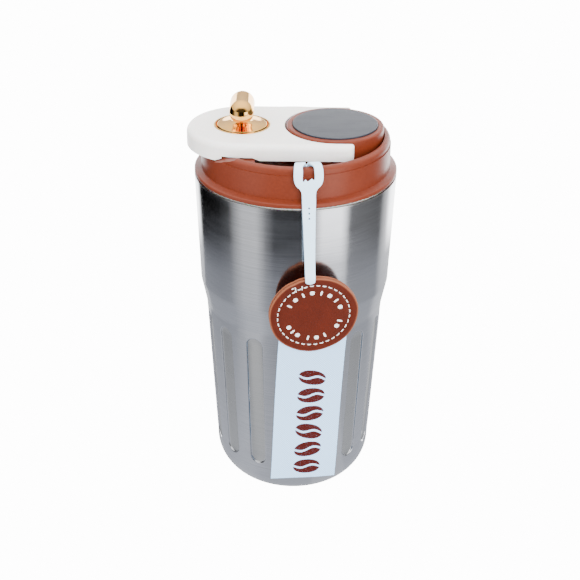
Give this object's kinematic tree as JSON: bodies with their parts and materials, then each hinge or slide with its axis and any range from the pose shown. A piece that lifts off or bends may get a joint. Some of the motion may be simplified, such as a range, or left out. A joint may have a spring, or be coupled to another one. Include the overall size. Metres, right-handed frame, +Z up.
{
  "type": "insulated travel mug",
  "caption": "Double-walled steel travel mug with a screw-in lid, a flip-up sip cover locked by a turning knob, and a hanging leather tag with a ribbon.",
  "frame": {"origin": "centre of the flat face that the mug stands on", "axes": "+Z up along the mug's axis; the flip cover and its knob lie toward -X, the hinge and the column toward +X; the tag hangs toward -Y"},
  "size_m": [0.0879, 0.0927, 0.1795],
  "materials": {
    "steel_brushed": "brushed stainless steel, fine rings round the body",
    "steel_liner": "bright drawn stainless steel",
    "steel_small": "plain bright steel",
    "foot_silicone": "matte dark silicone",
    "clear_silicone": "translucent milky silicone",
    "lid_plastic": "satin terracotta moulding",
    "foam": "white expanded foam",
    "adhesive": "thin black adhesive foam",
    "inlay_grey": "satin blue-grey moulding",
    "cover_plastic": "satin warm white moulding",
    "gold_plate": "polished gold-coloured plate",
    "acetal": "natural acetal",
    "strap_white": "smooth white coated strap",
    "tag_leather": "brown vegetable-tanned leather",
    "stitch_thread": "white waxed thread",
    "ribbon_weave": "white waffle-woven ribbon with a brown print"
  },
  "bodies": {
    "mug": {"outer_shell": "steel_brushed", "inner_liner": "steel_liner", "base_disc": "steel_liner", "vacuum_seal": "steel_small", "getter_capsule": "steel_small", "foot_pad": "foot_silicone"},
    "seal": {"lid_seal": "clear_silicone"},
    "lid": {"lid_outer": "lid_plastic", "lid_plug": "lid_plastic", "lid_foam": "foam", "lid_column": "lid_plastic", "disc_adhesive": "adhesive", "inlay_disc": "inlay_grey", "hinge_pins": "steel_small", "lock_keeper": "steel_small", "lanyard_pin": "steel_small", "strap_loop": "strap_white"},
    "cover": {"flip_cover": "cover_plastic", "cover_plate": "cover_plastic", "plate_screws": "steel_small", "spout_plug": "clear_silicone", "vent_nub": "clear_silicone", "knob_dish": "gold_plate", "spindle_bush": "acetal"},
    "knob": {"knob_barrel": "gold_plate", "knob_base": "gold_plate", "knob_spindle": "steel_small", "spindle_clip": "steel_small", "wave_washer": "steel_small"},
    "tag": {"strap_tail": "strap_white", "tag_disc_front": "tag_leather", "tag_disc_back": "tag_leather", "tag_stitches": "stitch_thread", "tag_ribbon": "ribbon_weave"}
  },
  "joints": [
    {"name": "lid_lift", "type": "slide", "parent": "mug", "child": "seal", "axis": [0, 0, 1], "range_m": [0, 0.024]},
    {"name": "lid_turn", "type": "hinge", "parent": "seal", "child": "lid", "pos_m": [0, 0, 0.147], "axis": [0, 0, 1], "range_deg": [0, 720]},
    {"name": "cover_flip", "type": "hinge", "parent": "lid", "child": "cover", "pos_m": [0.0185, 0, 0.1635], "axis": [0, 1, 0], "range_deg": [0, 115]},
    {"name": "knob_turn", "type": "hinge", "parent": "cover", "child": "knob", "pos_m": [-0.0224, 0, 0.165], "axis": [0, 0, 1], "range_deg": [0, 90]},
    {"name": "tag_swing", "type": "hinge", "parent": "lid", "child": "tag", "pos_m": [0.00611, -0.04085, 0.1613], "axis": [-0.989, -0.1478, 0], "range_deg": [0, 70]}
  ],
  "couplings": [
    {"joint": "lid_turn", "follows": "lid_lift", "rad_per_m": 523.6}
  ]
}
